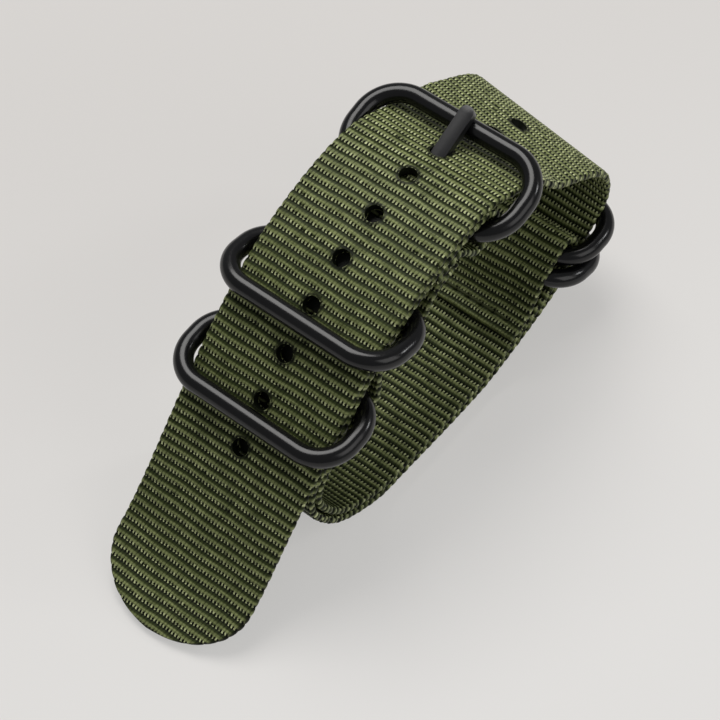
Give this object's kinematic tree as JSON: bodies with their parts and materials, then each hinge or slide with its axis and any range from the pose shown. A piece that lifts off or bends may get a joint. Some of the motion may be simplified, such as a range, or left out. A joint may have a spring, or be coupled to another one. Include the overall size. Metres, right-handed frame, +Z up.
{
  "type": "watch strap",
  "caption": "Webbing watch strap closed in a loop, with a pin buckle, wire keeper rings and rear rings, lying on its flat stretch.",
  "frame": {"origin": "middle of the flat stretch that the loop lies on, on its lower face", "axes": "+X along the loop from the strap's tip towards the rear rings, +Y across the webbing, +Z up from the table"},
  "size_m": [0.0852, 0.028, 0.0422],
  "materials": {
    "webbing": "ribbed woven nylon",
    "thread": "sewing thread",
    "coated_wire": "satin black coating on steel wire",
    "tongue_metal": "satin dark coating on steel strip"
  },
  "bodies": {
    "straps": {"main_strap": "webbing", "second_strap": "webbing", "buckle_seam_back_outer": "thread", "buckle_seam_back_inner": "thread", "buckle_seam_front_outer": "thread", "buckle_seam_front_inner": "thread", "keeper_seam_outer": "thread", "keeper_seam_inner": "thread", "joining_seam_outer": "thread", "joining_seam_inner": "thread", "rear_seam_outer": "thread", "rear_seam_inner": "thread"},
    "buckle": {"buckle_frame": "coated_wire"},
    "tongue": {"tongue": "tongue_metal"},
    "back_keeper": {"back_keeper": "coated_wire"},
    "front_keeper": {"front_keeper": "coated_wire"},
    "upper_rear_ring": {"rear_ring_upper": "coated_wire"},
    "lower_rear_ring": {"rear_ring_lower": "coated_wire"}
  },
  "joints": [
    {"name": "buckle_lift", "type": "hinge", "parent": "straps", "child": "buckle", "pos_m": [0.0077, 0, 0.03555], "axis": [0, -1, 0], "range_deg": [0, 1.5]},
    {"name": "tongue_lift", "type": "hinge", "parent": "buckle", "child": "tongue", "pos_m": [0.0077, 0, 0.03555], "axis": [0, -1, 0], "range_deg": [0, 1.5]},
    {"name": "back_keeper_swing", "type": "hinge", "parent": "straps", "child": "back_keeper", "pos_m": [-0.00482, 0, 0.03233], "axis": [0, 1, 0], "range_deg": [0, 107]},
    {"name": "front_keeper_swing", "type": "hinge", "parent": "straps", "child": "front_keeper", "pos_m": [-0.01441, 0, 0.02524], "axis": [0, 1, 0], "range_deg": [0, 78]},
    {"name": "upper_rear_ring_swing", "type": "hinge", "parent": "straps", "child": "upper_rear_ring", "pos_m": [0.02788, 0, 0.0117], "axis": [0, 1, 0], "range_deg": [0, 4]},
    {"name": "lower_rear_ring_swing", "type": "hinge", "parent": "straps", "child": "lower_rear_ring", "pos_m": [0.0251, 0, 0.00986], "axis": [0, 1, 0], "range_deg": [0, 42]}
  ]
}
